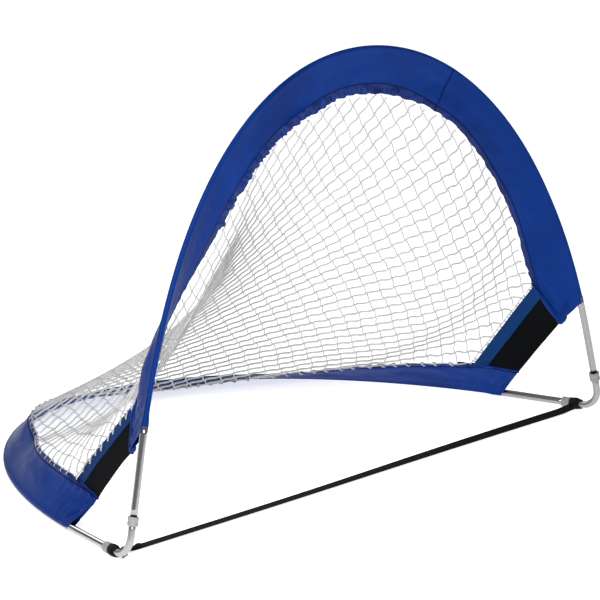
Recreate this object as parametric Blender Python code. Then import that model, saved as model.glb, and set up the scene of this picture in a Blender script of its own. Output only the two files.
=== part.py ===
"""Pop up lawn goal: two springy rods in fabric sleeves, a net, chrome corner tubes.
Metres, +Z up. X runs along the ground strap, +Y points to the back of the goal.
The open mouth faces -Y. Origin: middle of the bounding box, on the floor."""
import math
import bmesh
import bpy
from mathutils import Vector

PI = math.pi

for ob in list(bpy.data.objects):
    bpy.data.objects.remove(ob)

# ---- overall shape (tube centre lines) -------------------------------------
C = 0.905            # half the distance between the two corners
LS = 0.249           # straight run out of each corner
YF = -0.552          # the corners stand this far in front of the box centre
ZC = 0.0165          # centre height of the ground tubes at the corners
ZR = 0.0076          # centre height of the ground rod at the very back
ARCH = dict(beta=0.221, l1=0.666, l2=0.337, top=1.138)
HOOP = dict(beta=0.259, l1=0.544, l2=0.370, top=1.1075)
LEAN, BOW = 0.027, 0.068   # the arch leans back a little and bows back at its top

R_TUBE, R_BORE = 0.0095, 0.0080
R_ROD = 0.0045
R_COLLAR = 0.0148
W_BAND = 0.121       # sleeve width, rod to inner edge
T_BAND = 0.0038
S_ARCH = 0.318       # sleeve ends, measured along each rod from the corner
S_HOOP = 0.300
D_COLLAR = 0.094     # upper collar centre, up the arch tube from the corner
D_WRAP = 0.072       # black strap wrap, back along the ground tube
D_BCOL = 0.1010      # ground collar centre
R_BEND = 0.050

# The net pulls each sleeve out of its rod's plane. Turns are in degrees, places in metres
# along the rod.
TURN_CORNER, TURN_CROWN = 65, 2        # arch sleeve, beside the corners and at the crown
TURN_FROM, TURN_RUN = 0.20, 0.90       # it turns flat over this stretch from either end
LIE_CORNER, LIE_BACK = 67, 8           # ground sleeve, beside the corners and at its flattest
LIE_AT = 1.80                          # its flattest place, right of the middle of the back
LIE_LEFT, LIE_RIGHT = 0.60, 0.80       # how far the flat stretch reaches each way
SLACK, SLACK_AT, SLACK_REACH = 13, 0.83, 0.12   # a slack stretch at the left of the back

SAG_MID, SAG_LOW = 0.095, 0.050        # net sag: over its whole slope, and in its upper part


def bez(p0, p1, p2, p3, n):
    out = []
    for i in range(n + 1):
        t = i / n
        a, b, c, d = (1 - t) ** 3, 3 * t * (1 - t) ** 2, 3 * t * t * (1 - t), t ** 3
        out.append((a * p0[0] + b * p1[0] + c * p2[0] + d * p3[0],
                    a * p0[1] + b * p1[1] + c * p2[1] + d * p3[1]))
    return out


def half_outline(beta, l1, l2, top):
    """Right half of a D shape in its own plane, corner first."""
    d = (-math.sin(beta), math.cos(beta))
    pts = [(C + d[0] * LS * i / 6, d[1] * LS * i / 6) for i in range(6)]
    q = (C + d[0] * LS, d[1] * LS)
    pts += bez(q, (q[0] + l1 * d[0], q[1] + l1 * d[1]), (l2, top), (0, top), 60)
    return pts


class Path:
    def __init__(self, pts):
        self.p = [Vector(q) for q in pts]
        self.s = [0.0]
        for a, b in zip(self.p, self.p[1:]):
            self.s.append(self.s[-1] + (b - a).length)
        self.len = self.s[-1]

    def raw(self, s):
        s = min(max(s, 0.0), self.len)
        lo, hi = 0, len(self.s) - 1
        while hi - lo > 1:
            m = (lo + hi) // 2
            if self.s[m] <= s:
                lo = m
            else:
                hi = m
        f = (s - self.s[lo]) / (self.s[hi] - self.s[lo])
        return self.p[lo].lerp(self.p[hi], f)

    def at(self, s):
        e = 0.006
        a, b = self.raw(s - e), self.raw(s + e)
        return self.raw(s), (b - a).normalized()


def arch_point(u, v):
    b = BOW * (v / ARCH['top']) ** 2
    return (u, YF + v * math.sin(LEAN) + b, ZC + v * math.cos(LEAN))


def hoop_point(u, v):
    return (u, YF + v, ZC + (ZR - ZC) * v / HOOP['top'])


def full(spec, place):
    h = half_outline(**spec)
    left = [(-u, v) for u, v in h]
    return Path([place(u, v) for u, v in left + h[::-1][1:]])


arch = full(ARCH, arch_point)     # left corner -> apex -> right corner
hoop = full(HOOP, hoop_point)


def smooth(x):
    x = min(max(x, 0.0), 1.0)
    return x * x * (3 - 2 * x)


def frame(path, s, back):
    """Point, tangent, in-plane direction to the middle, out-of-plane direction."""
    p, t = path.at(s)
    b = (back - t * back.dot(t)).normalized()
    n = t.cross(b)
    mid = Vector((0, YF + 0.45, 0.35)) if back.y else Vector((0, YF + 0.45, p.z))
    if n.dot(mid - p) < 0:
        n = -n
    return p, t, n, b


def turn(path, s):
    """Turn of the sleeve out of its rod's plane, towards the net."""
    if path is arch:
        from_end = min(s, path.len - s)
        flat = smooth((from_end - TURN_FROM) / TURN_RUN)
        deg = TURN_CORNER + (TURN_CROWN - TURN_CORNER) * flat
    else:
        d = s - LIE_AT
        reach = LIE_LEFT if d < 0 else LIE_RIGHT
        deg = (LIE_CORNER + (LIE_BACK - LIE_CORNER) * math.exp(-(d / reach) ** 2)
               - SLACK * math.exp(-((s - SLACK_AT) / SLACK_REACH) ** 2))
    return math.radians(deg)


def cut(path, a):
    """Slanted end of the sleeve where the corner panel is sewn on."""
    if path is arch:
        k = [(0, 0), (0.070, -0.058), (W_BAND, 0.069)]
    else:
        k = [(0, 0), (0.100, -0.078), (W_BAND, 0.060)]
    a = min(max(a, 0), W_BAND)
    for (a0, e0), (a1, e1) in zip(k, k[1:]):
        if a <= a1:
            return e0 + (e1 - e0) * (a - a0) / (a1 - a0)
    return k[-1][1]


def band_point(path, s, a, b=0.0):
    """Point on a sleeve: a out from the rod, b across its thickness."""
    back = Vector((0, 1, 0)) if path is arch else Vector((0, 0, 1))
    p, t, n, m = frame(path, s, back)
    ang = turn(path, s)
    d = n * math.cos(ang) + m * math.sin(ang)
    c = t.cross(d)
    return p + d * a + c * b, t


def sleeve_point(path, s0, s, a, b):
    """As band_point, with the slanted cut at both ends."""
    e = min(s, path.len - s) - s0
    w = 1 - smooth(e / 0.14)
    sh = cut(path, a) * w
    if s > path.len / 2:
        sh = -sh
    q, t = band_point(path, s + sh, a, b)
    return q


# ---- mesh helpers -----------------------------------------------------------
def make(name, verts, faces):
    me = bpy.data.meshes.new(name)
    me.from_pydata([tuple(v) for v in verts], [], faces)
    me.validate()
    bm = bmesh.new()
    bm.from_mesh(me)
    bmesh.ops.recalc_face_normals(bm, faces=bm.faces)
    bm.to_mesh(me)
    bm.free()
    me.update()
    ob = bpy.data.objects.new(name, me)
    bpy.context.scene.collection.objects.link(ob)
    return ob


def side_frames(pts):
    """Parallel frames down a list of points."""
    tans = []
    for i in range(len(pts)):
        a = pts[max(i - 1, 0)]
        b = pts[min(i + 1, len(pts) - 1)]
        tans.append((b - a).normalized())
    up = Vector((0, 0, 1)) if abs(tans[0].z) < 0.9 else Vector((0, 1, 0))
    u = (up - tans[0] * up.dot(tans[0])).normalized()
    out = []
    for t in tans:
        u = (u - t * u.dot(t)).normalized()
        out.append((u, t.cross(u)))
    return out


def rod(name, pts, r, n=10):
    v, f = [], []
    for p, (u, w) in zip(pts, side_frames(pts)):
        for k in range(n):
            a = 2 * PI * k / n
            v.append(p + u * (r * math.cos(a)) + w * (r * math.sin(a)))
    m = len(pts)
    for i in range(m - 1):
        for k in range(n):
            j = (k + 1) % n
            f.append((i * n + k, i * n + j, (i + 1) * n + j, (i + 1) * n + k))
    f.append(tuple(range(n))[::-1])
    f.append(tuple(range((m - 1) * n, m * n)))
    return make(name, v, f)


def pipe(name, pts, r, bore, n=16, bulge=0.0):
    """Hollow tube along a list of points."""
    v, f = [], []
    m = len(pts)
    for i, (p, (u, w)) in enumerate(zip(pts, side_frames(pts))):
        g = bulge * math.sin(PI * i / (m - 1))
        for rr in (r + g, bore):
            for k in range(n):
                a = 2 * PI * k / n
                v.append(p + u * (rr * math.cos(a)) + w * (rr * math.sin(a)))
    for i in range(m - 1):
        o, q = i * 2 * n, (i + 1) * 2 * n
        for k in range(n):
            j = (k + 1) % n
            f.append((o + k, o + j, q + j, q + k))
            f.append((o + n + j, o + n + k, q + n + k, q + n + j))
    for k in range(n):
        j = (k + 1) % n
        f.append((j, k, n + k, n + j))
        e = (m - 1) * 2 * n
        f.append((e + k, e + j, e + n + j, e + n + k))
    return make(name, v, f)


def run(path, a, b, n):
    return [path.raw(a + (b - a) * i / n) for i in range(n + 1)]


def sheet(name, rows, thick):
    """Closed thin body over a grid of points."""
    m, n = len(rows), len(rows[0])
    v = []
    for s in (0.5, -0.5):
        for i in range(m):
            for j in range(n):
                du = rows[min(i + 1, m - 1)][j] - rows[max(i - 1, 0)][j]
                dv = rows[i][min(j + 1, n - 1)] - rows[i][max(j - 1, 0)]
                v.append(rows[i][j] + du.cross(dv).normalized() * (thick * s))
    o = m * n
    f = []
    for i in range(m - 1):
        for j in range(n - 1):
            a, b, c, d = i * n + j, (i + 1) * n + j, (i + 1) * n + j + 1, i * n + j + 1
            f.append((a, b, c, d))
            f.append((o + d, o + c, o + b, o + a))
    for i in range(m - 1):
        for j, flip in ((0, 0), (n - 1, 1)):
            a, b = i * n + j, (i + 1) * n + j
            q = (a, o + a, o + b, b)
            f.append(q[::-1] if flip else q)
    for j in range(n - 1):
        for i, flip in ((0, 1), (m - 1, 0)):
            a, b = i * n + j, i * n + j + 1
            q = (a, o + a, o + b, b)
            f.append(q[::-1] if flip else q)
    return make(name, v, f)


# ---- rods, tubes, collars, elbows -------------------------------------------
rod('arch_rod', run(arch, S_ARCH - 0.06, arch.len - S_ARCH + 0.06, 90), R_ROD)
rod('base_rod', run(hoop, S_HOOP - 0.06, hoop.len - S_HOOP + 0.06, 90), R_ROD)


def from_end(path, side, a, b, n):
    if side == 'left':
        return run(path, a, b, n)
    return run(path, path.len - a, path.len - b, n)


for side in ('left', 'right'):
    pipe('arch_tube_' + side, from_end(arch, side, D_COLLAR + 0.0105, S_ARCH + 0.018, 8),
         R_TUBE, R_BORE)
    pipe('base_tube_' + side, from_end(hoop, side, D_BCOL + 0.0006, S_HOOP + 0.018, 6),
         R_TUBE, R_BORE)
    pipe('arch_collar_' + side, from_end(arch, side, D_COLLAR - 0.012, D_COLLAR + 0.012, 4),
         R_COLLAR - 0.0010, R_TUBE + 0.0004, bulge=0.0010)
    pipe('base_collar_' + side, from_end(hoop, side, D_BCOL - 0.011, D_BCOL + 0.012, 4),
         R_COLLAR - 0.0010, R_TUBE + 0.0004, bulge=0.0010)
    # bent elbow: ground run, round bend, upright run
    p0 = from_end(arch, side, 0, 0.01, 1)[0]
    da = (from_end(arch, side, 0.05, 0.1, 1)[1] - p0).normalized()
    dh = (from_end(hoop, side, 0.05, 0.1, 1)[1] - p0).normalized()
    half = 0.5 * da.angle(dh)
    lt = R_BEND / math.tan(half)
    cen = p0 + (da + dh).normalized() * (R_BEND / math.sin(half))
    pts = [p0 + dh * (D_BCOL - 0.0006), p0 + dh * (lt + 0.012)]
    a0, a1 = p0 + dh * lt - cen, p0 + da * lt - cen
    sweep = a0.angle(a1)
    for i in range(11):
        g = i / 10
        pts.append(cen + (a0 * math.sin((1 - g) * sweep) + a1 * math.sin(g * sweep))
                   / math.sin(sweep))
    pts += [p0 + da * (lt + 0.012), p0 + da * (D_COLLAR - 0.0003)]
    pipe('elbow_' + side, pts, R_TUBE, R_BORE)

    # black strap end wound round the ground end of the elbow
    w0 = p0 + dh * D_WRAP
    wr = [w0 + dh * d for d in (-0.0165, -0.0125, -0.004, 0.004, 0.0125, 0.0165)]
    v, f, n = [], [], 18
    rr = (0.0130, 0.0155, 0.0159, 0.0157, 0.0155, 0.0130)
    for p, r, (u, w) in zip(wr, rr, side_frames(wr)):
        for q in (r, R_TUBE + 0.0005):
            for k in range(n):
                a = 2 * PI * k / n
                v.append(p + u * (q * math.cos(a)) + w * (q * math.sin(a)))
    m = len(wr)
    for i in range(m - 1):
        o, q = i * 2 * n, (i + 1) * 2 * n
        for k in range(n):
            j = (k + 1) % n
            f.append((o + k, o + j, q + j, q + k))
            f.append((o + n + j, o + n + k, q + n + k, q + n + j))
    for k in range(n):
        j = (k + 1) % n
        f.append((j, k, n + k, n + j))
        e = (m - 1) * 2 * n
        f.append((e + k, e + j, e + n + j, e + n + k))
    make('strap_wrap_' + side, v, f)

# ---- sleeves ----------------------------------------------------------------
def sleeve(name, path, s0, n):
    v, f = [], []
    rings = n + 1
    arc = [math.radians(a) for a in range(60, 301, 30)]
    for i in range(rings):
        x = i / n
        # closer rings near the slanted ends
        s = s0 + (path.len - 2 * s0) * (x - 0.075 * math.sin(2 * PI * x) / 1.0 * 0.9)
        e = min(s, path.len - s) - s0
        wide = 1 - smooth((e - 0.062) / 0.04)
        ch = 0.0058 + (0.0106 - 0.0058) * wide
        ro = ch + 0.0014
        outer = [(ro * math.cos(a), ro * math.sin(a)) for a in arc]
        h = T_BAND / 2
        low = [(0.0175, -0.80 * ro), (0.032, -0.0046), (0.062, -0.0030),
               (W_BAND - 0.026, -h), (W_BAND, -h)]
        ang = [20, 8, 3, 1.3, 0.8]
        ring = outer + low + [(a, -b) for a, b in low[::-1]]
        deg = list(range(60, 301, 30)) + [360 - a for a in ang] + ang[::-1]
        for a, b in ring:
            v.append(sleeve_point(path, s0, s, a, b))
        for d in deg:
            d = math.radians(d)
            v.append(sleeve_point(path, s0, s, ch * math.cos(d), ch * math.sin(d)))
    k = len(ring)
    for i in range(rings - 1):
        o, q = i * 2 * k, (i + 1) * 2 * k
        for a in range(k):
            b = (a + 1) % k
            f.append((o + a, o + b, q + b, q + a))
            f.append((o + k + b, o + k + a, q + k + a, q + k + b))
    for a in range(k):
        b = (a + 1) % k
        f.append((b, a, k + a, k + b))
        e = (rings - 1) * 2 * k
        f.append((e + a, e + b, e + k + b, e + k + a))
    return make(name, v, f)


sleeve('arch_sleeve', arch, S_ARCH, 62)
sleeve('base_sleeve', hoop, S_HOOP, 58)


# ---- corner panels ----------------------------------------------------------
def end_point(path, s0, side, a):
    s = s0 if side == 'left' else path.len - s0
    return sleeve_point(path, s0, s, a, 0.0)


GAP = 0.0025
for side in ('left', 'right'):
    a1 = end_point(arch, S_ARCH, side, 0.070)
    a2 = end_point(arch, S_ARCH, side, W_BAND)
    h1 = end_point(hoop, S_HOOP, side, 0.100)
    h2 = end_point(hoop, S_HOOP, side, W_BAND)

    def quad(f0, f1, n=8):
        rows = []
        for i in range(n + 1):
            row = []
            for g in (0.0, 0.5, 1.0):
                w = f0 + (f1 - f0) * g
                top = a1.lerp(a2, w)
                low = h1.lerp(h2, w)
                d = (low - top).normalized()
                t0, l0 = top + d * GAP, low - d * GAP
                row.append(t0.lerp(l0, i / n))
            rows.append(row)
        return rows

    sheet('corner_panel_' + side, quad(0.02, 0.70), 0.0020)
    sheet('panel_border_' + side, quad(0.715, 0.985), 0.0022)


# ---- net --------------------------------------------------------------------
def net_point(u, v):
    """u: -1 left to 1 right, v: 0 on the arch sleeve to 1 on the ground sleeve."""
    x = (u + 1) / 2
    sa = S_ARCH + 0.072 + (arch.len - 2 * (S_ARCH + 0.072)) * x
    sh = S_HOOP + 0.063 + (hoop.len - 2 * (S_HOOP + 0.063)) * x
    pa = band_point(arch, sa, W_BAND)[0]
    ph = band_point(hoop, sh, W_BAND)[0]
    d = (ph - pa)
    ln = d.length
    d = d / ln
    gap = 0.004
    q = pa + d * (gap + (ln - 2 * gap) * v)
    sag = (4 * v * (1 - v) * SAG_MID * smooth((1 - abs(u)) / 0.22)
           + 6.75 * v * (1 - v) ** 2 * SAG_LOW * smooth((1 - abs(u)) / 0.60))
    return q + Vector((0, -0.75, -0.66)) * sag


def net(name, nu, nv, wid, thick):
    v, f = [], []
    idx = {}
    us = [-0.992 + 1.984 * i / nu for i in range(nu + 1)]
    vs = [j / nv for j in range(nv + 1)]
    for i, u in enumerate(us):
        for j, w in enumerate(vs):
            p = net_point(u, w)
            e = 0.01
            pu = net_point(min(u + e, 1), w) - net_point(max(u - e, -1), w)
            pv = net_point(u, min(w + e, 1)) - net_point(u, max(w - e, 0))
            pu.normalize()
            pv.normalize()
            nrm = pu.cross(pv).normalized()
            h = wid / 2
            # keep the knot square inside the outline at the rims
            su = -h if i == nu else (h if i == 0 else 0)
            sv = -h if j == nv else (h if j == 0 else 0)
            c = p + pu * su + pv * sv
            for lay, t in ((0, thick / 2), (1, -thick / 2)):
                for k, (a, b) in enumerate(((-h, -h), (h, -h), (h, h), (-h, h))):
                    idx[i, j, lay, k] = len(v)
                    v.append(c + pu * a + pv * b + nrm * t)

    def q(*k):
        return tuple(idx[x] for x in k)

    for i in range(nu + 1):
        for j in range(nv + 1):
            f.append(q((i, j, 0, 0), (i, j, 0, 1), (i, j, 0, 2), (i, j, 0, 3)))
            f.append(q((i, j, 1, 3), (i, j, 1, 2), (i, j, 1, 1), (i, j, 1, 0)))
            if i < nu:     # strand to the next knot in u
                m = i + 1
                f.append(q((i, j, 0, 1), (m, j, 0, 0), (m, j, 0, 3), (i, j, 0, 2)))
                f.append(q((i, j, 1, 2), (m, j, 1, 3), (m, j, 1, 0), (i, j, 1, 1)))
                f.append(q((i, j, 1, 1), (m, j, 1, 0), (m, j, 0, 0), (i, j, 0, 1)))
                f.append(q((i, j, 0, 2), (m, j, 0, 3), (m, j, 1, 3), (i, j, 1, 2)))
            else:
                f.append(q((i, j, 0, 1), (i, j, 1, 1), (i, j, 1, 2), (i, j, 0, 2)))
            if i == 0:
                f.append(q((i, j, 0, 3), (i, j, 1, 3), (i, j, 1, 0), (i, j, 0, 0)))
            if j < nv:
                m = j + 1
                f.append(q((i, j, 0, 2), (i, m, 0, 1), (i, m, 0, 0), (i, j, 0, 3))[::1])
                f.append(q((i, j, 1, 3), (i, m, 1, 0), (i, m, 1, 1), (i, j, 1, 2)))
                f.append(q((i, j, 1, 2), (i, m, 1, 1), (i, m, 0, 1), (i, j, 0, 2)))
                f.append(q((i, j, 0, 3), (i, m, 0, 0), (i, m, 1, 0), (i, j, 1, 3)))
            else:
                f.append(q((i, j, 0, 2), (i, j, 1, 2), (i, j, 1, 3), (i, j, 0, 3)))
            if j == 0:
                f.append(q((i, j, 0, 0), (i, j, 1, 0), (i, j, 1, 1), (i, j, 0, 1)))
    return make(name, v, f)


net('net', 28, 11, 0.0030, 0.0024)

# ---- ground strap -----------------------------------------------------------
wl = hoop.raw(D_WRAP)
wx = C - math.sin(HOOP['beta']) * D_WRAP
sy = wl.y
half_w, th = 0.0125, 0.0016
xs = [-wx + 0.0178, -wx + 0.024, -wx + 0.040, -wx + 0.060]
zs = [0.0065, 0.0045, 0.0012, 0.0]
prof = list(zip(xs, zs)) + [(-x, z) for x, z in list(zip(xs, zs))[::-1]]
sv, sf = [], []
for x, z in prof:
    for yy, zz in ((-half_w, 0), (half_w, 0), (half_w, th), (-half_w, th)):
        sv.append((x, sy + yy, z + zz))
for i in range(len(prof) - 1):
    for k in range(4):
        j = (k + 1) % 4
        sf.append((i * 4 + k, (i + 1) * 4 + k, (i + 1) * 4 + j, i * 4 + j))
sf.append((0, 1, 2, 3))
e = (len(prof) - 1) * 4
sf.append((e + 3, e + 2, e + 1, e))
make('ground_strap', sv, sf)

# loose tail of the strap, lying on it beside the left corner
tx = -wx + 0.030
tail = [[Vector((tx + 0.075 * i / 5, sy - 0.009 + 0.018 * g, 0.0085 + 0.0020 * math.sin(i * 1.7)))
         for g in (0.0, 0.5, 1.0)] for i in range(6)]
sheet('strap_tail_left', tail, 0.0014)

# short cord end sticking out in front of the left wrap
cx = -wx + 0.002
rod('cord_end_left', [Vector((cx + 0.0040 * i, sy - 0.0285 + 0.0012 * i, 0.0042 + 0.0003 * i))
                      for i in range(6)], 0.0024, n=8)
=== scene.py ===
"""Looks for the pop up goal: cloth sleeves, knotted net, chrome tubes, black webbing.
Metres, row frame: X along the ground strap, +Y to the back, Z up, mouth facing -Y."""
import math
from itertools import combinations

import bpy
import numpy as np
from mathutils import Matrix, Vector, noise


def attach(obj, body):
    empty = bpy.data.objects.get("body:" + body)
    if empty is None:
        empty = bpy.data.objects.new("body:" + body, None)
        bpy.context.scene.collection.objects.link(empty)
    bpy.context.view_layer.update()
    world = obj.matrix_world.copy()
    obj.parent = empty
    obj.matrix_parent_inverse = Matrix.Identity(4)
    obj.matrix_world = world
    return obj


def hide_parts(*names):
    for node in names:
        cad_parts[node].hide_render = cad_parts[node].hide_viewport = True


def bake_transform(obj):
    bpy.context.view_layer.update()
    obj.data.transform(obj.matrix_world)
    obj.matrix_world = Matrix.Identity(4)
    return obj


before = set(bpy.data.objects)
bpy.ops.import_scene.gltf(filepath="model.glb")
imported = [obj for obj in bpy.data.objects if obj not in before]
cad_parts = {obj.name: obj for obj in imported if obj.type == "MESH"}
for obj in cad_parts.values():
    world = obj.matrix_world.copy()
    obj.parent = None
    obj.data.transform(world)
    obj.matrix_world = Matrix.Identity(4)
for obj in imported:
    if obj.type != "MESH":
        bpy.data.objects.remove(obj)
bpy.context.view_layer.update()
PI = math.pi
rng = np.random.default_rng(7)

# ---------------------------------------------------------------- camera ----
scene = bpy.context.scene
YAW, PITCH = 0.80584, 0.27606
cam_data = bpy.data.cameras.new("camera")
cam_data.lens, cam_data.sensor_width = 331.4, 36.0
cam_data.clip_end = 200
cam = bpy.data.objects.new("camera", cam_data)
scene.collection.objects.link(cam)
cam.location = (-10.1185, -9.9947, 4.4265)
look = Vector((math.sin(YAW) * math.cos(PITCH), math.cos(YAW) * math.cos(PITCH),
               -math.sin(PITCH)))
cam.rotation_euler = look.to_track_quat("-Z", "Y").to_euler()
scene.camera = cam

# ------------------------------------------------- centre lines of the CAD ----
C, LS, YF, ZC, ZR = 0.905, 0.249, -0.552, 0.0165, 0.0076
ARCH = (0.221, 0.666, 0.337, 1.138)
HOOP = (0.259, 0.544, 0.370, 1.1075)
LEAN, BOW = 0.027, 0.068
W = 0.121                      # sleeve width, rod to inner edge
S_ARCH, S_HOOP = 0.318, 0.300  # where the sleeves end, from the corner
D_COLLAR, D_WRAP, D_BCOL = 0.094, 0.072, 0.101   # collars and strap wrap, from the corner
R_BEND = 0.050                 # elbow bend, on its centre line
R_TUBE, R_BORE = 0.0095, 0.0081
R_FOLD_ARC = 0.0074            # the sleeve's fold round its rod
FOLD_Y, FOLD_Z = -0.5491, 0.1082   # the fold hinge
FOLD_LO, FOLD_HI = math.radians(7), math.radians(88)   # behind upright: all arch, all base
CUT_FADE = 0.14                # the slanted cut dies out over this length of sleeve
JOIN_AT = 1.993                # sewn join at the right shoulder, along the arch rod
R_CORD = 0.0017                # lashing cord


def half(beta, l1, l2, top, n=160):
    """Right half of a D shape in its own plane, corner first."""
    d = np.array([-math.sin(beta), math.cos(beta)])
    p0 = np.array([C, 0.0])
    q0 = p0 + LS * d
    t = np.linspace(0, 1, n + 1)[:, None]
    b = ((1 - t) ** 3 * q0 + 3 * t * (1 - t) ** 2 * (q0 + l1 * d)
         + 3 * t * t * (1 - t) * np.array([l2, top]) + t ** 3 * np.array([0, top]))
    s = p0 + np.linspace(0, LS, 20)[:-1, None] * d
    return np.concatenate([s, b])


class Path:
    """A rod's centre line, left corner to right corner, by length."""

    def __init__(self, spec, upright):
        h = half(*spec)
        uv = np.concatenate([h * (-1, 1), h[::-1][1:]])
        u, v = uv[:, 0], uv[:, 1]
        if upright:
            y = YF + v * math.sin(LEAN) + BOW * (v / spec[3]) ** 2
            z = ZC + v * math.cos(LEAN)
        else:
            y, z = YF + v, ZC + (ZR - ZC) * v / spec[3]
        self.p = np.stack([u, y, z], 1)
        steps = np.linalg.norm(np.diff(self.p, axis=0), axis=1)
        self.s = np.concatenate([[0], np.cumsum(steps)])
        self.len = self.s[-1]
        self.upright = upright

    def raw(self, s):
        s = np.asarray(s, float)
        return np.stack([np.interp(s, self.s, self.p[:, i]) for i in range(3)], -1)

    def frame(self, s):
        """point, tangent, in-plane direction inwards, out-of-plane direction"""
        p = self.raw(s)
        t = unit(self.raw(np.asarray(s) + 0.01) - self.raw(np.asarray(s) - 0.01))
        back = np.array([0, 1.0, 0]) if self.upright else np.array([0, 0, 1.0])
        b = unit(back - t * (t @ back)[..., None])
        n = np.cross(t, b)
        mid = np.array([0, YF + 0.45, 0.35])
        d = mid - p
        if not self.upright:
            d[..., 2] = 0
        n = n * np.sign(np.sum(n * d, -1))[..., None]
        return p, t, n, b


def unit(v):
    return v / np.linalg.norm(v, axis=-1, keepdims=True)


def smooth(x):
    x = np.clip(x, 0, 1)
    return x * x * (3 - 2 * x)


arch = Path(ARCH, True)
hoop = Path(HOOP, False)


# The net pulls each sleeve out of its rod's plane. Turns are in degrees, places in metres
# along the rod.
TURN_CORNER, TURN_CROWN = 65, 2        # arch sleeve, beside the corners and at the crown
TURN_FROM, TURN_RUN = 0.20, 0.90       # it turns flat over this stretch from either end
LIE_CORNER, LIE_BACK = 67, 8           # ground sleeve, beside the corners and at its flattest
LIE_AT = 1.80                          # its flattest place, right of the middle of the back
LIE_LEFT, LIE_RIGHT = 0.60, 0.80       # how far the flat stretch reaches each way
SLACK, SLACK_AT, SLACK_REACH = 13, 0.83, 0.12   # a slack stretch at the left of the back


def turn(path, s):
    """How far the sleeve is turned out of its rod's plane, towards the net, in radians."""
    s = np.asarray(s, float)
    if path.upright:
        flat = smooth((np.minimum(s, path.len - s) - TURN_FROM) / TURN_RUN)
        return np.radians(TURN_CORNER + (TURN_CROWN - TURN_CORNER) * flat)
    d = s - LIE_AT
    reach = np.where(d < 0, LIE_LEFT, LIE_RIGHT)
    return np.radians(LIE_CORNER + (LIE_BACK - LIE_CORNER) * np.exp(-(d / reach) ** 2)
                      - SLACK * np.exp(-((s - SLACK_AT) / SLACK_REACH) ** 2))


def width(path, s):
    """Sleeve width from the rod to its inner edge; it isn't sewn quite evenly."""
    s = np.asarray(s, float)
    w = np.full(s.shape, W)
    if path.upright:
        w = (w + 0.009 * np.exp(-((s - 1.40) / 0.13) ** 2)
             - 0.007 * np.exp(-((s - 2.13) / 0.20) ** 2)
             - 0.013 * np.exp(-((s - 2.50) / 0.15) ** 2))
    return w


def cut(path, a):
    """Slanted end of a sleeve, where the corner panel is sewn on."""
    if path.upright:
        return np.interp(a, [0, 0.070, W], [0, -0.058, 0.069])
    return np.interp(a, [0, 0.100, W], [0, -0.078, 0.060])


def sleeve_mid(path, s0, s, a):
    """Middle of the two layers, with the slanted cut; also the directions there."""
    e = np.minimum(s, path.len - s) - s0
    shift = cut(path, a) * (1 - smooth(e / CUT_FADE))
    s2 = s + np.where(s > path.len / 2, -shift, shift)
    p, t, n, b = path.frame(s2)
    ang = turn(path, s2)[..., None]
    d = n * np.cos(ang) + b * np.sin(ang)
    k = np.asarray(a) * width(path, s2) / W
    return p + d * k[..., None], t, d, np.cross(t, d)


def edge_point(path, s):
    """Inner edge of a sleeve, away from its ends."""
    p, t, n, b = path.frame(s)
    ang = turn(path, s)[..., None]
    return p + (n * np.cos(ang) + b * np.sin(ang)) * width(path, s)[..., None]


def follow(p):
    """Share of the arch's turn that a soft point takes when the arch folds, so that
    everything between the arch and the ground ends up flat between the two."""
    th = np.arctan2(p[..., 1] - FOLD_Y, p[..., 2] - FOLD_Z)
    th = np.where(th < -1.2, PI, th)
    return np.clip((FOLD_HI - th) / (FOLD_HI - FOLD_LO), 0, 1)


# ------------------------------------------------------------ mesh helpers ----
def make(name, verts, faces, mats, smooth_faces=True, face_mat=None):
    me = bpy.data.meshes.new(name)
    me.from_pydata(np.asarray(verts, float).tolist(), [], [list(map(int, f)) for f in faces])
    me.update()
    ob = bpy.data.objects.new(name, me)
    scene.collection.objects.link(ob)
    for m in mats:
        me.materials.append(m)
    if smooth_faces:
        me.polygons.foreach_set("use_smooth", [True] * len(me.polygons))
    if face_mat is not None:
        me.polygons.foreach_set("material_index", list(map(int, face_mat)))
    return ob


def grid_faces(m, n, base=0, loop=False):
    """Quads of an m by n grid; loop closes it in the second direction."""
    k = n if loop else n - 1
    i = np.arange(m - 1)[:, None]
    j = np.arange(k)[None, :]
    a = i * n + j
    b = i * n + (j + 1) % n
    q = np.stack([a, a + n, b + n, b], -1).reshape(-1, 4) + base
    return q.tolist()


def side_frames(p):
    """Parallel frames down a polyline."""
    t = np.gradient(p, axis=0)
    t = unit(t)
    up = np.array([0, 0, 1.0]) if abs(t[0, 2]) < 0.9 else np.array([0, 1.0, 0])
    out_u, out_w = [], []
    u = up
    for k in range(len(p)):
        u = u - t[k] * (u @ t[k])
        u = u / np.linalg.norm(u)
        out_u.append(u)
        out_w.append(np.cross(t[k], u))
    return np.array(out_u), np.array(out_w)


def tube_mesh(p, r, n=8, caps=True):
    """Vertices and faces of a tube along p; r may vary."""
    p = np.asarray(p, float)
    u, w = side_frames(p)
    r = np.broadcast_to(np.asarray(r, float), (len(p),))
    a = np.arange(n) * 2 * PI / n
    v = (p[:, None] + u[:, None] * (r[:, None] * np.cos(a))[..., None]
         + w[:, None] * (r[:, None] * np.sin(a))[..., None]).reshape(-1, 3)
    f = grid_faces(len(p), n, loop=True)
    if caps:
        f.append(list(range(n))[::-1])
        f.append(list(range((len(p) - 1) * n, len(p) * n)))
    return v, f


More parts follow.
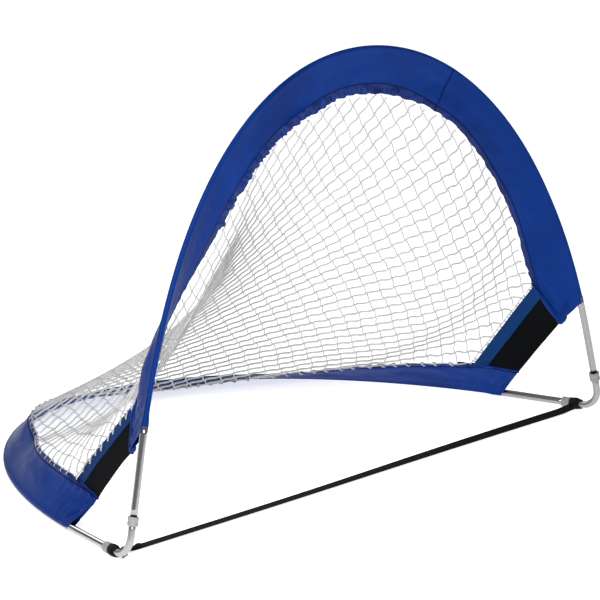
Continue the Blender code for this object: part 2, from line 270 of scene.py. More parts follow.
def lathe(p, prof, n=40):
    """Turned shape about a straight line: prof is (distance along, radius) pairs, closed."""
    o, d = np.asarray(p[0], float), unit(np.asarray(p[1], float) - np.asarray(p[0], float))
    up = np.array([0, 0, 1.0]) if abs(d[2]) < 0.9 else np.array([0, 1.0, 0])
    u = unit(up - d * (up @ d))
    w = np.cross(d, u)
    a = np.arange(n) * 2 * PI / n
    v = []
    for x, r in prof:
        v.append(o + d * x + u * (r * np.cos(a))[:, None] + w * (r * np.sin(a))[:, None])
    v = np.concatenate(v)
    m = len(prof)
    f = []
    for i in range(m):
        j = (i + 1) % m
        for k in range(n):
            l = (k + 1) % n
            f.append([i * n + k, j * n + k, j * n + l, i * n + l])
    return v, f


def join(parts):
    v, f, o = [], [], 0
    for a, b in parts:
        v.append(a)
        f += [[i + o for i in q] for q in b]
        o += len(a)
    return np.concatenate(v), f


def fold_blend(ob):
    """Bakes the object's transform into its mesh."""
    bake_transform(ob)


def fuzz(p, scale, seed=0.0):
    """Smooth noise at points p, about -1 to 1."""
    o = Vector((seed * 3.1, seed * 7.7, seed * 1.3))
    return np.array([noise.noise(Vector(q) * scale + o) for q in np.asarray(p).reshape(-1, 3)]
                    ).reshape(np.asarray(p).shape[:-1])


# --------------------------------------------------------------- materials ----
def material(name):
    m = bpy.data.materials.new(name)
    m.use_nodes = True
    nt = m.node_tree
    return m, nt, nt.nodes["Principled BSDF"]


def add(nt, kind, **props):
    n = nt.nodes.new(kind)
    for k, v in props.items():
        if k in n.inputs:
            n.inputs[k].default_value = v
        else:
            setattr(n, k, v)
    return n


def ramp(nt, stops):
    r = nt.nodes.new("ShaderNodeValToRGB")
    e = r.color_ramp.elements
    while len(e) > 1:
        e.remove(e[-1])
    e[0].position, e[0].color = stops[0][0], (*stops[0][1], 1)
    for pos, col in stops[1:]:
        x = e.new(pos)
        x.color = (*col, 1)
    return r


def cloth(name, dark, light, weave, rough, bump=0.25, coarse=9.0, spec=0.4):
    """Woven cloth: fine thread bump, slow colour drift, soft creases in the shading; on the blue
    cloth the drift's lighter patches are painted sheen, lit satin painted into the colour.
    """
    m, nt, bs = material(name)
    lk = nt.links.new
    co = add(nt, "ShaderNodeTexCoord")
    tone_and_sheen_noise = add(nt, "ShaderNodeTexNoise", Scale=coarse, Detail=5.0, Roughness=0.55)
    lk(co.outputs["Object"], tone_and_sheen_noise.inputs["Vector"])
    r = ramp(nt, [(0.30, dark), (0.72, light)])
    lk(tone_and_sheen_noise.outputs["Fac"], r.inputs["Fac"])
    lk(r.outputs["Color"], bs.inputs["Base Color"])
    wx = add(nt, "ShaderNodeTexWave", Scale=weave, Distortion=0.6)
    wx.bands_direction = "DIAGONAL"
    wy = add(nt, "ShaderNodeTexWave", Scale=weave, Distortion=0.6)
    wy.bands_direction = "Z"
    lk(co.outputs["Object"], wx.inputs["Vector"])
    lk(co.outputs["Object"], wy.inputs["Vector"])
    mul = add(nt, "ShaderNodeMath", operation="MULTIPLY")
    lk(wx.outputs["Fac"], mul.inputs[0])
    lk(wy.outputs["Fac"], mul.inputs[1])
    cr = add(nt, "ShaderNodeTexNoise", Scale=55.0, Detail=3.0)
    lk(co.outputs["Object"], cr.inputs["Vector"])
    b1 = add(nt, "ShaderNodeBump", Strength=bump, Distance=0.0006)
    lk(mul.outputs[0], b1.inputs["Height"])
    b2 = add(nt, "ShaderNodeBump", Strength=0.35, Distance=0.002)
    lk(cr.outputs["Fac"], b2.inputs["Height"])
    lk(b1.outputs["Normal"], b2.inputs["Normal"])
    lk(b2.outputs["Normal"], bs.inputs["Normal"])
    rr = add(nt, "ShaderNodeMapRange")
    rr.inputs["To Min"].default_value = rough - 0.08
    rr.inputs["To Max"].default_value = rough + 0.08
    lk(tone_and_sheen_noise.outputs["Fac"], rr.inputs["Value"])
    lk(rr.outputs["Result"], bs.inputs["Roughness"])
    bs.inputs["Specular IOR Level"].default_value = spec
    return m


def metal(name, col, rough, brushed):
    m, nt, bs = material(name)
    lk = nt.links.new
    bs.inputs["Metallic"].default_value = 1.0
    co = add(nt, "ShaderNodeTexCoord")
    n = add(nt, "ShaderNodeTexNoise", Scale=140.0, Detail=4.0)
    lk(co.outputs["Object"], n.inputs["Vector"])
    r = ramp(nt, [(0.25, tuple(c * 0.86 for c in col)), (0.75, col)])
    lk(n.outputs["Fac"], r.inputs["Fac"])
    lk(r.outputs["Color"], bs.inputs["Base Color"])
    rr = add(nt, "ShaderNodeMapRange")
    rr.inputs["To Min"].default_value = rough
    rr.inputs["To Max"].default_value = rough + brushed
    lk(n.outputs["Fac"], rr.inputs["Value"])
    lk(rr.outputs["Result"], bs.inputs["Roughness"])
    b = add(nt, "ShaderNodeBump", Strength=0.02, Distance=0.0003)
    lk(n.outputs["Fac"], b.inputs["Height"])
    lk(b.outputs["Normal"], bs.inputs["Normal"])
    return m


def plastic(name, col, rough):
    m, nt, bs = material(name)
    lk = nt.links.new
    co = add(nt, "ShaderNodeTexCoord")
    n = add(nt, "ShaderNodeTexNoise", Scale=260.0, Detail=3.0)
    lk(co.outputs["Object"], n.inputs["Vector"])
    r = ramp(nt, [(0.2, tuple(c * 0.9 for c in col)), (0.8, col)])
    lk(n.outputs["Fac"], r.inputs["Fac"])
    lk(r.outputs["Color"], bs.inputs["Base Color"])
    bs.inputs["Roughness"].default_value = rough
    b = add(nt, "ShaderNodeBump", Strength=0.15, Distance=0.0003)
    lk(n.outputs["Fac"], b.inputs["Height"])
    lk(b.outputs["Normal"], bs.inputs["Normal"])
    return m


# The blue's broad lighter patches, from the coarse noise at scale 3.2, are painted sheen: lit
# patches of satin standing in for light, over the cloth's own uneven tone.
BLUE = cloth("blue_cloth", (0.0006, 0.019, 0.135), (0.0034, 0.033, 0.215), 900, 0.38,
             coarse=3.2, spec=0.05)
# The hem is painted darker than the blue, painted shade of its crumples, and its lighter whitish
# spots are painted glints.
HEMCLOTH = cloth("blue_hem", (0.0008, 0.011, 0.085), (0.0090, 0.030, 0.180), 900, 0.36,
                 coarse=26.0, spec=0.14)
SEAM = cloth("blue_thread", (0.0010, 0.010, 0.075), (0.0014, 0.014, 0.095), 900, 0.6, spec=0.05)
BORDER = cloth("border_cloth", (0.0008, 0.022, 0.100), (0.0014, 0.031, 0.130), 900, 0.5,
               spec=0.06)
BLACK = cloth("black_cloth", (0.0012, 0.0014, 0.0022), (0.0022, 0.0026, 0.0036), 500, 0.8,
              bump=0.5, spec=0.06)
WEB = cloth("black_webbing", (0.0020, 0.0020, 0.0020), (0.0045, 0.0045, 0.0045), 300, 0.7,
            bump=0.8, coarse=40, spec=0.18)
TWINE = cloth("white_twine", (0.46, 0.46, 0.46), (0.60, 0.60, 0.60), 1200, 0.8,
              bump=0.6, coarse=30, spec=0.15)
CHROME = metal("chrome", (0.36, 0.36, 0.36), 0.14, 0.06)
STEEL = metal("dull_steel", (0.40, 0.40, 0.40), 0.34, 0.12)
COLLAR = plastic("grey_plastic", (0.28, 0.28, 0.28), 0.5)

# ----------------------------------------------------------------- sleeves ----
HEM = 0.027      # the hem as first laid out, before hem_width() fits it to its place


def hem_width(path, s):
    """The hem is narrow, and wider over the crown of the arch."""
    s = np.asarray(s, float)
    if path.upright:
        return 0.014 + 0.012 * (smooth((s - 0.75) / 0.20) - smooth((s - 1.75) / 0.30))
    return np.full(s.shape, 0.014)


def sleeve(name, path, s0, node, seed):
    """Double layer of cloth folded over its rod, with a seam and a crumpled hem."""
    n_s = 640
    s = np.linspace(s0, path.len - s0, n_s)
    # one way round the cross-section: outer face from hem to rod, round it, back
    n_hem, n_main = 9, 16
    a_out = np.concatenate([np.linspace(W, W - HEM, n_hem),
                            np.linspace(W - HEM - 0.0034, 0.022, n_main)])
    arc = np.radians(np.arange(52, 309, 16))
    k1 = len(a_out)
    A = np.concatenate([a_out, R_FOLD_ARC * np.cos(arc), a_out[::-1]])
    side = np.concatenate([np.ones(k1), np.sign(np.sin(arc)), -np.ones(k1)])
    k = len(A)
    S, AA = np.meshgrid(s, A, indexing="ij")
    SD = np.broadcast_to(side, S.shape)
    hm = hem_width(path, S)
    AA = np.where(AA <= W - HEM, AA * (W - hm) / (W - HEM), W - (W - AA) * hm / HEM)
    h_at = AA - (W - hm)          # distance inside the hem
    mid, _, d, c = sleeve_mid(path, s0, S, AA)
    e = np.minimum(S, path.len - S) - s0
    # half the distance between the layers
    gap = np.interp(AA, [0.0, 0.022, 0.045, 0.080, W - 0.003, W],
                    [R_FOLD_ARC, 0.0054, 0.0030, 0.0018, 0.0014, 0.0004])
    gap = gap - 0.0009 * np.exp(-(h_at / 0.0025) ** 2)
    wide = 1 + 0.37 * (1 - smooth((e - 0.022) / 0.035))    # the tube's end is in here
    gap = gap * np.where(AA < 0.03, wide, 1)
    if path.upright:   # the left leg's outer face bellies out where the sleeve twists
        puff = 0.017 * np.exp(-((S - 0.50) / 0.12) ** 2) * np.sin(np.clip(AA / W, 0, 1) * PI)
        gap = gap + np.where(SD > 0, puff, puff * 0.6)
    across = SD * gap
    flat_part = np.zeros(k1)
    round_rod = np.concatenate([flat_part, R_FOLD_ARC * np.sin(arc), flat_part])
    r = np.tile(round_rod, (n_s, 1)) * wide
    on_arc = np.tile(np.concatenate([flat_part, np.ones(len(arc)), flat_part]), (n_s, 1)) > 0
    across = np.where(on_arc, r, across)
    # folds: points in cloth coordinates
    q = np.stack([S, AA, np.full_like(S, seed)], -1)
    body = smooth((AA - 0.02) / 0.04) * (1 - smooth((h_at + 0.012) / 0.012))
    slanted = np.stack([(S + AA * 1.3) * 17, (AA - S) * 5, q[..., 2]], -1)
    long_f = (fuzz(q * (4.5, 16, 1), 1.0, seed) * 0.0046
              + fuzz(q * (14, 30, 1), 1.0, seed + 1) * 0.0018
              + fuzz(slanted, 1.0, seed + 7) * 0.0030)
    hem = smooth(h_at / 0.006)
    crisp = (0.35 + 1.5 * smooth((S - 0.80) / 0.2) * (1 - smooth((S - 1.75) / 0.3))
             if path.upright else np.full(S.shape, 0.7))
    ruff = (fuzz(q * (60, 20, 1), 1.0, seed + 2) * 0.0044
            + fuzz(q * (130, 60, 1), 1.0, seed + 3) * 0.0024)
    ruff = ruff * crisp * 1.25
    cuff = 1 - smooth(e / 0.15)
    gather = (np.sin(e * 250 + AA * 30 + 3.5 * fuzz(q * (9, 25, 1), 1.0, seed + 4)) * 0.0030
              + fuzz(q * (40, 14, 1), 1.0, seed + 8) * 0.0085) * cuff * smooth((AA - 0.012) / 0.03)
    across = across + body * long_f + hem * ruff + gather * (1 - on_arc)
    if path.upright:   # a sewn join across the sleeve at the right shoulder
        across = across + SD * 0.0014 * np.exp(-((S - JOIN_AT) / 0.0035) ** 2)
    # ragged outline of the hem
    push = hem * (fuzz(q * (30, 1, 1), 1.0, seed + 5) * 0.0052
                  + fuzz(q * (95, 1, 1), 1.0, seed + 6) * 0.0006)
    v = mid + d * push[..., None] + c * across[..., None]
    v[..., 2] = np.maximum(v[..., 2], 0.0004)
    f = grid_faces(n_s, k)
    col = np.zeros(k - 1, int)         # 0 cloth, 1 hem, 2 seam
    col[:n_hem - 1] = 1
    col[k - n_hem:] = 1
    col[n_hem - 1] = col[k - n_hem - 1] = 2    # the seam's own faces
    fm = np.tile(col, (n_s - 1, 1))
    if path.upright:
        at = np.abs(s[:-1] - JOIN_AT) < 0.0050
        fm[at] = 2
    ob = make(name, v.reshape(-1, 3), f, [BLUE, HEMCLOTH, SEAM], face_mat=fm.reshape(-1))
    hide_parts(node)
    if path.upright:   # the arch cloth has its transform baked in; it isn't attached to a body
        fold_blend(ob)
    else:
        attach(ob, "base")
    # stitches along the seam, on both faces
    parts = []
    st = np.arange(s0 + 0.03, path.len - s0 - 0.03, 0.009)
    for sgn in (1, -1):
        for x in st:
            ss = np.array([x, x + 0.003, x + 0.006])
            m2, _, _, c2 = sleeve_mid(path, s0, ss, W - hem_width(path, ss))
            p = m2 + c2 * sgn * np.array([0.0008, 0.0016, 0.0008])[:, None]
            parts.append(tube_mesh(p, 0.0005, 4))
    sv, sf = join(parts)
    so = make(name + "_stitches", sv, sf, [SEAM])
    if path.upright:
        fold_blend(so)
    else:
        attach(so, "base")
    return ob, so


arch_cloth, arch_stitches = sleeve("arch_sleeve_cloth", arch, S_ARCH, "arch_sleeve", 1.0)
base_cloth, base_stitches = sleeve("base_sleeve_cloth", hoop, S_HOOP, "base_sleeve", 5.0)

# ------------------------------------------------------------ corner panels ----
rolls = {"arch": [], "base": []}
for side in ("left", "right"):
    def end(path, s0, a):
        s = np.array([s0 if side == "left" else path.len - s0])
        return sleeve_mid(path, s0, s, np.array([a]))[0][0]
    a1, a2 = end(arch, S_ARCH, 0.068), end(arch, S_ARCH, W - 0.001)
    h1, h2 = end(hoop, S_HOOP, 0.098), end(hoop, S_HOOP, W - 0.001)

    def panel(f0, f1, n_u, n_v, tuck, bulge):
        """Points of a strip between the two cuffs, its normal, and how far each point is off."""
        u = np.linspace(f0, f1, n_u)
        x = np.linspace(0, 1, n_v)
        U, X = np.meshgrid(u, x, indexing="ij")
        top = a1 + (a2 - a1) * U[..., None]
        low = h1 + (h2 - h1) * U[..., None]
        dd = unit(low - top)
        top, low = top - dd * tuck, low + dd * tuck
        p = top + (low - top) * X[..., None]
        nrm = unit(np.cross((a2 - a1), (h1 - a1)))
        if nrm[1] > 0:
            nrm = -nrm
        wob = fuzz(p * 14, 1.0, 2) * 0.003 + np.sin(X * PI) * bulge
        return p, nrm, wob

    m, n = 16, 40
    for nm, f0, f1, tuck, mat, slot, th in (
            ("corner_panel_", 0.0, 0.705, 0.004, BLACK, "panel", 0.0007),
            ("panel_border_", 0.70, 1.0, 0.006, BORDER, "sleeve", 0.0017)):
        p, nrm, o = panel(f0, f1, m, n, tuck, -0.004)
        v = np.concatenate([(p + nrm * (o + th)[..., None]).reshape(-1, 3),
                            (p + nrm * (o - th)[..., None]).reshape(-1, 3)])
        f = grid_faces(m, n)
        f += [[i + m * n for i in q[::-1]] for q in grid_faces(m, n)]
        rim = ([(i, 0) for i in range(m)] + [(m - 1, j) for j in range(1, n)]
               + [(i, n - 1) for i in range(m - 2, -1, -1)]
               + [(0, j) for j in range(n - 2, 0, -1)])
        ids = [i * n + j for i, j in rim]
        for x, y in zip(ids, ids[1:] + ids[:1]):
            f.append([x, x + m * n, y + m * n, y])
        ob = make(nm + side + "_cloth", v, f, [mat])
        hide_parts(nm + side)
        w = follow(p).reshape(-1)
        fold_blend(ob)

    # the cut ends of both sleeves are rolled and sewn over the panel
    for nm, path, s0, a_lo, rr, over in (
            ("arch_cuff_roll_", arch, S_ARCH, 0.060, 0.0068, 0.014),
            ("base_cuff_roll_", hoop, S_HOOP, 0.096, 0.0026, 0.0)):
        aa = np.linspace(W - 0.003, a_lo, 40)
        at_end = np.full(40, s0 if side == "left" else path.len - s0)
        m2 = sleeve_mid(path, s0, at_end, aa)[0]
        tail = m2[-1] + unit(m2[-1] - m2[-6]) * np.linspace(0, over, 7)[1:, None]
        q = np.concatenate([m2, tail]) if over else m2
        q = q + fuzz(q * 30, 1, 17)[:, None] * 0.0016
        g = np.linspace(0, 1, len(q))
        rad = rr * (1 + 0.25 * fuzz(q * 55, 1, 18))
        rad = rad * np.interp(g, [0, 0.06, 0.9, 1], [0.6, 1, 1, 0.55])
        v, f = tube_mesh(q, rad, 14)
        v = v + fuzz(v * 120, 1, 19)[:, None] * np.array([0.0009, 0.0012, 0.0009])
        ob = make(nm + side, v, f, [BLUE])
        fold_blend(ob)
        rolls[nm[:4]].append(ob)

# --------------------------------------------------------------------- net ----
SAG_MID, SAG_LOW = 0.095, 0.050     # over the whole slope, and in its upper part
FADE_MID, FADE_LOW = 0.36, 0.60     # share of the half width over which each dies out
N_RULE = 240                        # rules of the surface between the two edges
CELL = 0.041                        # mesh size
STEP = 4                            # points along a strand from knot to knot
R_THIN, R_THICK = 0.0017, 0.0026    # strands down and up the slope
x = np.linspace(0, 1, N_RULE + 1)
sa = S_ARCH + 0.072 + (arch.len - 2 * (S_ARCH + 0.072)) * x
sh = S_HOOP + 0.063 + (hoop.len - 2 * (S_HOOP + 0.063)) * x
PA, PH = edge_point(arch, sa), edge_point(hoop, sh)


def unroll(pa, ph):
    """Lays the ruled surface between the two edges out flat."""
    c = N_RULE // 2
    fa, fh = np.zeros((len(pa), 2)), np.zeros((len(pa), 2))
    fh[c] = (0, -np.linalg.norm(ph[c] - pa[c]))

    def place(p, q, r1, r2, sgn):
        d = q - p
        ln = np.linalg.norm(d)
        a = (r1 * r1 - r2 * r2 + ln * ln) / (2 * ln)
        h = math.sqrt(max(r1 * r1 - a * a, 0))
        e = d / ln
        return p + e * a + sgn * h * np.array([-e[1], e[0]])

    for step in (1, -1):
        i = c
        while 0 <= i + step < len(pa):
            j = i + step
            dist = np.linalg.norm
            fa[j] = place(fa[i], fh[i], dist(pa[j] - pa[i]), dist(pa[j] - ph[i]), step)
            fh[j] = place(fa[j], fh[i], dist(ph[j] - pa[j]), dist(ph[j] - ph[i]), step)
            i = j
    return fa, fh


FA, FH = unroll(PA, PH)


def to_uv(q):
    """Flat points to (rule number, share down the rule); nan outside."""
    out = np.full((len(q), 2), np.nan)
    for i in range(N_RULE):
        a, b, c, d = FA[i], FH[i], FH[i + 1], FA[i + 1]
        lo, hi = np.minimum.reduce([a, b, c, d]), np.maximum.reduce([a, b, c, d])
        m = np.all((q >= lo - 1e-9) & (q <= hi + 1e-9), axis=1)
        if not m.any():
            continue
        p = q[m]
        # signed side of the two rules
        def sd(o, e, p):
            return (e[0] - o[0]) * (p[:, 1] - o[1]) - (e[1] - o[1]) * (p[:, 0] - o[0])
        s0, s1 = sd(a, b, p), sd(d, c, p)
        ok = (s0 >= 0) & (s1 < 0)
        l0, l1 = np.linalg.norm(b - a), np.linalg.norm(c - d)
        f = (s0 / l0) / (s0 / l0 - s1 / l1 + 1e-12)
        top = a + (d - a) * f[:, None]
        low = b + (c - b) * f[:, None]
        g = np.sum((p - top) * (low - top), 1) / np.sum((low - top) ** 2, 1)
        ok &= (g >= 0.0) & (g <= 1.0)
        idx = np.nonzero(m)[0][ok]
        out[idx, 0] = i + f[ok]
        out[idx, 1] = g[ok]
    return out


def net_surface(uv):
    u, v = uv[:, 0], uv[:, 1]
    k = np.arange(N_RULE + 1)
    pa = np.stack([np.interp(u, k, PA[:, i]) for i in range(3)], 1)
    ph = np.stack([np.interp(u, k, PH[:, i]) for i in range(3)], 1)
    p = pa + (ph - pa) * v[:, None]
    edge = np.abs(u / N_RULE * 2 - 1)
    sag = (4 * v * (1 - v) * SAG_MID * smooth((1 - edge) / FADE_MID)
           + 6.75 * v * (1 - v) ** 2 * SAG_LOW * smooth((1 - edge) / FADE_LOW))
    p = p + np.array([0, -0.75, -0.66]) * sag[:, None]
    # small hollows where the net hangs loose between its ties
    p[:, 2] -= np.abs(np.sin(u * 0.21)) * 0.004 * np.exp(-v * 9)
    return p


E1 = np.array([1, -1]) / math.sqrt(2)
E2 = np.array([1, 1]) / math.sqrt(2)
lo = np.minimum(FA.min(0), FH.min(0)) - 0.05
hi = np.maximum(FA.max(0), FH.max(0)) + 0.05
corners = np.array([[lo[0], lo[1]], [lo[0], hi[1]], [hi[0], lo[1]], [hi[0], hi[1]]])
parts, wts, knots = [], [], []
for dirn, perp in ((E1, E2), (E2, E1)):
    pr, dr = corners @ perp, corners @ dirn
    for kk in range(math.floor(pr.min() / CELL), math.ceil(pr.max() / CELL) + 1):
        js = np.arange(math.floor(dr.min() / CELL) * STEP, math.ceil(dr.max() / CELL) * STEP + 1)
        t = js / STEP
        row = np.full_like(t, kk)
        a0 = np.stack([t, row] if dirn is E1 else [row, t], 1)
        # knots drift a little from the square lattice, and twine bows between them
        q3 = np.stack([a0[:, 0], a0[:, 1], np.zeros(len(t))], 1)
        drift = np.stack([fuzz(q3 * 0.45, 1, 11), fuzz(q3 * 0.45, 1, 12)], 1) * 0.20
        fine = np.stack([fuzz(q3 * 1.3, 1, 13), fuzz(q3 * 1.3, 1, 14)], 1) * 0.07
        st = np.sin(2 * PI * t) * (0.03 if dirn is E1 else -0.075)
        ab = a0 + drift + fine
        flat = (ab[:, :1] * E1 + ab[:, 1:] * E2) * CELL + perp * (st * CELL)[:, None]
        uv = to_uv(flat)
        ok = ~np.isnan(uv[:, 0])
        run = []
        for i in range(len(t) + 1):
            if i < len(t) and ok[i]:
                run.append(i)
                continue
            if len(run) >= 3:
                p = net_surface(uv[run])
                parts.append(tube_mesh(p, R_THIN if dirn is E1 else R_THICK, 6))
                wts.append(np.repeat(follow(p), 6))
                if dirn is E1:
                    knots += [p[r] for r, i2 in enumerate(run) if js[i2] % STEP == 0]
            run = []
ico_v, ico_f = [], []
g = (1 + math.sqrt(5)) / 2
for a, b in ((1, g), (-1, g), (1, -g), (-1, -g)):
    ico_v += [(0, a, b), (a, b, 0), (b, 0, a)]
ico_v = unit(np.array(ico_v, float))
near = 1.06      # longer than an edge of the unit icosahedron, shorter than its diagonals
ico_f = [list(t) for t in combinations(range(12), 3)
         if all(np.linalg.norm(ico_v[i] - ico_v[j]) < near for i, j in combinations(t, 2))]


def outward(f):
    """A knot's face with its corners in the order that faces it outwards."""
    a, b, c = ico_v[f]
    return f if np.dot(np.cross(b - a, c - a), a) > 0 else f[::-1]


ico_f = [outward(f) for f in ico_f]
for p in knots:
    parts.append((p + ico_v * (0.0027 + 0.0005 * rng.random()), ico_f))
    wts.append(np.repeat(follow(p[None]), 12))
nv, nf = join(parts)
net_ob = make("net_twine", nv, nf, [TWINE])
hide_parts("net")
fold_blend(net_ob)


# the net is lashed to the hem: a cord along it and short turns of twine round the cloth
def lash(path, lo, hi, step, r, seed):
    """Turns of twine round a sleeve's inner edge."""
    out, w = [], []
    for x in np.arange(lo, hi, step):
        x = x + 0.3 * step * float(fuzz(np.array([[x * 40, seed, 0.0]]), 1, seed)[0])
        p, t, n, b = path.frame(np.array([x]))
        ang = turn(path, np.array([x]))[:, None]
        d = n * np.cos(ang) + b * np.sin(ang)
        c = np.cross(t, d)
        a = np.linspace(0, 2 * PI, 11)[:, None]
        o = p + d * (width(path, np.array([x]))[:, None] - 0.003)
        q = o + d * 0.0060 * np.cos(a) + c * 0.0040 * np.sin(a) + t * 0.012 * np.sin(a * 0.5)
        out.append(tube_mesh(q, r, 5))
        w.append(np.repeat(follow(q), 5))
    return out, w


lp, lw = lash(hoop, 0.40, hoop.len - 0.40, 0.041, 0.0016, 3.0)
ss = np.linspace(S_HOOP + 0.075, hoop.len - S_HOOP - 0.075, 420)
q = edge_point(hoop, ss)
LOOSE = np.array([0.002, 0.003, 0.002])      # how far the lashing cord wanders
q = q + fuzz(np.stack([ss * 30, ss * 0, ss * 0 + 2], -1), 1, 9)[:, None] * LOOSE
q[:, 2] = np.maximum(q[:, 2], 0.003)
lp.append(tube_mesh(q, R_CORD, 6))
lw.append(np.repeat(follow(q), 6))
for sgn in (0, -1):      # down both panel borders
    top, low = PA[sgn], PH[sgn]
    g = np.linspace(0, 1, 60)[:, None]
    q = top + (low - top) * g
    q = q + fuzz(np.concatenate([g * 9, g * 0, g * 0 + sgn], 1), 1, 21)[:, None] * LOOSE
    lp.append(tube_mesh(q, R_CORD, 6))
    lw.append(np.repeat(follow(q), 6))
    dd = unit(low - top)
    near_rule = sgn + (8 if sgn == 0 else -8)
    inner = unit(PA[near_rule] + PH[near_rule] - top - low)
    out = unit(inner - dd * (inner @ dd))
    nr = np.cross(dd, out)
    nr = nr * np.sign(nr[0] * top[0])     # away from the inside of the goal
    for x in np.linspace(0.05, 0.95, 10):
        g = np.linspace(0, 1, 15)[:, None]
        k = rng.uniform(0.7, 1.25)
        o = top + (low - top) * (x + rng.uniform(-0.015, 0.015)) + out * 0.001
        q = (o - out * 0.021 * k * np.sin(g * PI) ** 0.7
             + dd * 0.016 * k * (g - 0.5 + 0.25 * np.sin(g * 2 * PI))
             + nr * (0.0045 + 0.002 * np.sin(g * PI)))
        lp.append(tube_mesh(q, R_CORD, 6))
        lw.append(np.repeat(follow(q), 6))
lv, lf = join(lp)
lob = make("net_lashing", lv, lf, [TWINE])
fold_blend(lob)


# ---------------------------------------------------- tubes, elbows, collars ----
def from_end(path, side, a, b, n=2):
    """n points of a rod's line, between distances a and b from its left or right corner."""
    s = np.linspace(a, b, n)
    return path.raw(s if side == "left" else path.len - s)


def hollow_tube(name, p, mat, body, node):
    """Metal tube along p, with its bore and its two end rings."""
    m = 32
    v, f = tube_mesh(p, R_TUBE, m, caps=False)
    v2, f2 = tube_mesh(p, R_BORE, m, caps=False)
    n = len(v)
    f += [[i + n for i in q[::-1]] for q in f2]
    for b0 in (0, n - m):
        for k in range(m):
            j = (k + 1) % m
            q = [b0 + k, b0 + j, b0 + n + j, b0 + n + k]
            f.append(q if b0 == 0 else q[::-1])
    ob = make(name, np.concatenate([v, v2]), f, [mat])
    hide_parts(node)
    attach(ob, body)


for side in ("left", "right"):
    hollow_tube("arch_tube_%s_bright" % side,
                from_end(arch, side, D_COLLAR + 0.0105, S_ARCH + 0.018, 12),
                CHROME, "arch", "arch_tube_" + side)
    hollow_tube("base_tube_%s_bright" % side,
                from_end(hoop, side, D_BCOL + 0.0006, S_HOOP + 0.018, 10),
                CHROME, "base", "base_tube_" + side)
    p0 = from_end(arch, side, 0, 0.01)[0]
    da = unit(from_end(arch, side, 0.05, 0.1)[1] - p0)
    dh = unit(from_end(hoop, side, 0.05, 0.1)[1] - p0)
    hf = 0.5 * math.acos(float(da @ dh))
    lt = R_BEND / math.tan(hf)
    cen = p0 + unit(da + dh) * (R_BEND / math.sin(hf))
    e0, e1 = p0 + dh * lt - cen, p0 + da * lt - cen
    sw = math.acos(float(e0 @ e1) / R_BEND ** 2)
    bend = [cen + (e0 * math.sin((1 - g) * sw) + e1 * math.sin(g * sw)) / math.sin(sw)
            for g in np.linspace(0, 1, 25)]
    pts = np.array([p0 + dh * (D_BCOL - 0.0006), p0 + dh * (lt + 0.02)] + bend
                   + [p0 + da * (lt + 0.015), p0 + da * (D_COLLAR - 0.0003)])
    hollow_tube("elbow_%s_steel" % side, pts, STEEL, "base", "elbow_" + side)

    # collars: a short moulded ring with rounded lips and a slightly wider band
    prof = [(-0.0118, 0.0097), (-0.0120, 0.0128), (-0.0112, 0.0138), (-0.0090, 0.0142),
            (-0.0040, 0.0144), (-0.0032, 0.0137), (0.0032, 0.0137), (0.0040, 0.0144),
            (0.0090, 0.0142), (0.0112, 0.0138), (0.0120, 0.0128), (0.0118, 0.0099)]
    ca = p0 + da * D_COLLAR
    v, f = lathe([ca, ca + da], prof)
    ob = make("arch_collar_%s_ring" % side, v, f, [COLLAR])
    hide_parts("arch_collar_" + side)
    fold_blend(ob)
    cb = p0 + dh * (D_BCOL + 0.0005)
    v, f = lathe([cb, cb + dh], prof)
    ob = make("base_collar_%s_ring" % side, v, f, [COLLAR])
    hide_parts("base_collar_" + side)
    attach(ob, "base")


# ------------------------------------------------------------------- webbing ----
def ribbon(p, across, width, thick, n_w=8):
    """Flat webbing along p, with a slightly domed section and rolled edges."""
    p = np.asarray(p, float)
    t = unit(np.gradient(p, axis=0))
    c = unit(across - t * np.sum(across * t, 1)[:, None])
    nrm = np.cross(t, c)
    g = np.linspace(-1, 1, n_w)
    w = width / 2 * g
    h = thick / 2 * (1 - 0.5 * g ** 6)
    ring = [(a, b) for a, b in zip(w, h)] + [(a, -b) for a, b in zip(w[::-1], h[::-1])]
    v = np.concatenate([p + c * a + nrm * b for a, b in ring]).reshape(len(ring), -1, 3)
    v = v.transpose(1, 0, 2).reshape(-1, 3)
    k = len(ring)
    f = grid_faces(len(p), k, loop=True)
    f.append(list(range(k)))
    f.append(list(range((len(p) - 1) * k, len(p) * k))[::-1])
    return v, f


wy = float(hoop.raw(D_WRAP)[1])
wx = -float(hoop.raw(D_WRAP)[0])
n = 180
half_len = wx - 0.0175            # the strap leaves each wrap here
xs = np.linspace(-half_len, half_len, n)
e = np.minimum(xs + half_len, half_len - xs)
zz = 0.0040 + 0.0035 * (1 - smooth(e / 0.055))
tw = 0.10 + 0.30 * smooth((xs + 0.3) / 1.1)      # it lies twisted a little, more to the right
p = np.stack([xs, np.full(n, wy) + 0.0015 * np.sin(xs * 5), zz + 0.0105 * np.sin(tw)], 1)
ac = np.stack([np.zeros(n), np.cos(tw), np.sin(tw)], 1)
v, f = ribbon(p, ac, 0.024, 0.0016)
v[:, 2] = np.maximum(v[:, 2], 0.0001)
ob = make("ground_strap_webbing", v, f, [WEB])
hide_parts("ground_strap")
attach(ob, "base")

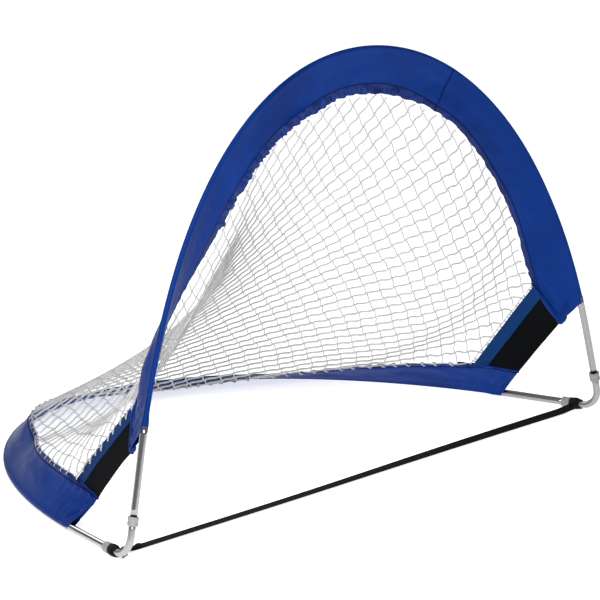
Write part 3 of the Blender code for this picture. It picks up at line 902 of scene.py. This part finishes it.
for side in ("left", "right"):
    p0 = from_end(hoop, side, 0, 0.01)[0]
    dh = unit(from_end(hoop, side, 0.05, 0.1)[1] - p0)
    c0 = p0 + dh * D_WRAP
    u, w = side_frames(np.array([c0, c0 + dh * 0.01]))
    u, w = u[0], w[0]

    def wound(a, rad, ax):
        """Line round the tube at angles a, with its radius and place along the tube."""
        return (c0 + dh * ax[:, None] + u * (rad * np.cos(a))[:, None]
                + w * (rad * np.sin(a))[:, None])

    parts = []
    turns = 3.4
    a = np.linspace(0, turns * 2 * PI, 170)
    rad = 0.0112 + 0.0030 * (a / a[-1]) + 0.0006 * np.sin(a * 2.3)
    ax = -0.0105 + 0.021 * (a / a[-1]) + 0.002 * np.sin(a * 1.7)
    hp = wound(a, rad, ax)
    parts.append(ribbon(hp, np.tile(dh, (len(a), 1)), 0.017, 0.0024))
    a = np.linspace(0.5, 0.5 + 2 * 2 * PI, 110)     # two narrower turns over the first ones
    rad = 0.0146 + 0.0006 * np.sin(a * 3)
    ax = 0.004 * np.sin(a * 0.5) + 0.002
    hp = wound(a, rad, ax)
    parts.append(ribbon(hp, np.tile(dh, (len(a), 1)), 0.011, 0.0024))
    v, f = join(parts)
    v[:, 2] = np.maximum(v[:, 2], 0.0002)
    ob = make("strap_wrap_%s_wound" % side, v, f, [WEB])
    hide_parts("strap_wrap_" + side)
    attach(ob, "base")

# loose tail of the strap and the cord end, at the left corner
tx = -wx + 0.028
n = 40
g = np.linspace(0, 1, n)
p = np.stack([tx + 0.078 * g, wy + 0.004 * np.sin(g * 5), 0.0095 + 0.0028 * np.sin(g * 11)], 1)
ac = np.stack([np.zeros(n), np.ones(n), 0.35 * np.sin(g * 9)], 1)
v, f = ribbon(p, ac, 0.017, 0.0018)
v += fuzz(v * 160, 1, 3)[:, None] * np.array([0.001, 0.001, 0.0012])
ob = make("strap_tail_webbing", v, f, [WEB])
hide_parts("strap_tail_left")
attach(ob, "base")
g = np.linspace(0, 1, 16)
p = np.stack([-wx + 0.002 + 0.021 * g, wy - 0.0285 + 0.006 * g, 0.0042 + 0.0015 * g], 1)
v, f = tube_mesh(p, 0.0024 + 0.0006 * smooth((g - 0.7) / 0.3), 12)
ob = make("cord_end_left_cord", v, f, [WEB])
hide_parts("cord_end_left")
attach(ob, "base")

# hidden rods keep their CAD shape
ROD = plastic("rod_fibre", (0.05, 0.05, 0.05), 0.45)
for nname in ("arch_rod", "base_rod"):
    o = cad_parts[nname]
    o.data.materials.clear()
    o.data.materials.append(ROD)

# ---------------------------------------------------------- floor and light ----
m, nt, bs = material("floor")
nz = add(nt, "ShaderNodeTexNoise", Scale=3.0, Detail=2.0)
rr = ramp(nt, [(0.3, (0.93, 0.93, 0.93)), (0.7, (0.95, 0.95, 0.95))])
nt.links.new(nz.outputs["Fac"], rr.inputs["Fac"])
nt.links.new(rr.outputs["Color"], bs.inputs["Base Color"])
bs.inputs["Roughness"].default_value = 0.9
bs.inputs["Specular IOR Level"].default_value = 0.1
bs.inputs["Emission Color"].default_value = (1, 1, 1, 1)
bs.inputs["Emission Strength"].default_value = 0.72
floor = make("floor", [(-60, -60, 0), (60, -60, 0), (60, 60, 0), (-60, 60, 0)],
             [[0, 1, 2, 3]], [m])

world = bpy.data.worlds.new("studio")
scene.world = world
world.use_nodes = True
bg = world.node_tree.nodes["Background"]
bg.inputs["Color"].default_value = (1, 1, 1, 1)
bg.inputs["Strength"].default_value = 0.30


def area(name, loc, size, power, target=(0, 0, 0.4)):
    ld = bpy.data.lights.new(name, "AREA")
    ld.shape, ld.size, ld.energy = "DISK", size, power
    lo = bpy.data.objects.new(name, ld)
    scene.collection.objects.link(lo)
    lo.location = loc
    lo.visible_camera = False
    lo.rotation_euler = (Vector(target) - Vector(loc)).to_track_quat("-Z", "Y").to_euler()


area("key", (-2.0, -1.7, 1.9), 0.9, 62, (-0.5, -0.3, 0.6))
area("rear", (0.5, 3.6, 3.4), 2.6, 70)
scene.view_settings.view_transform = "Standard"
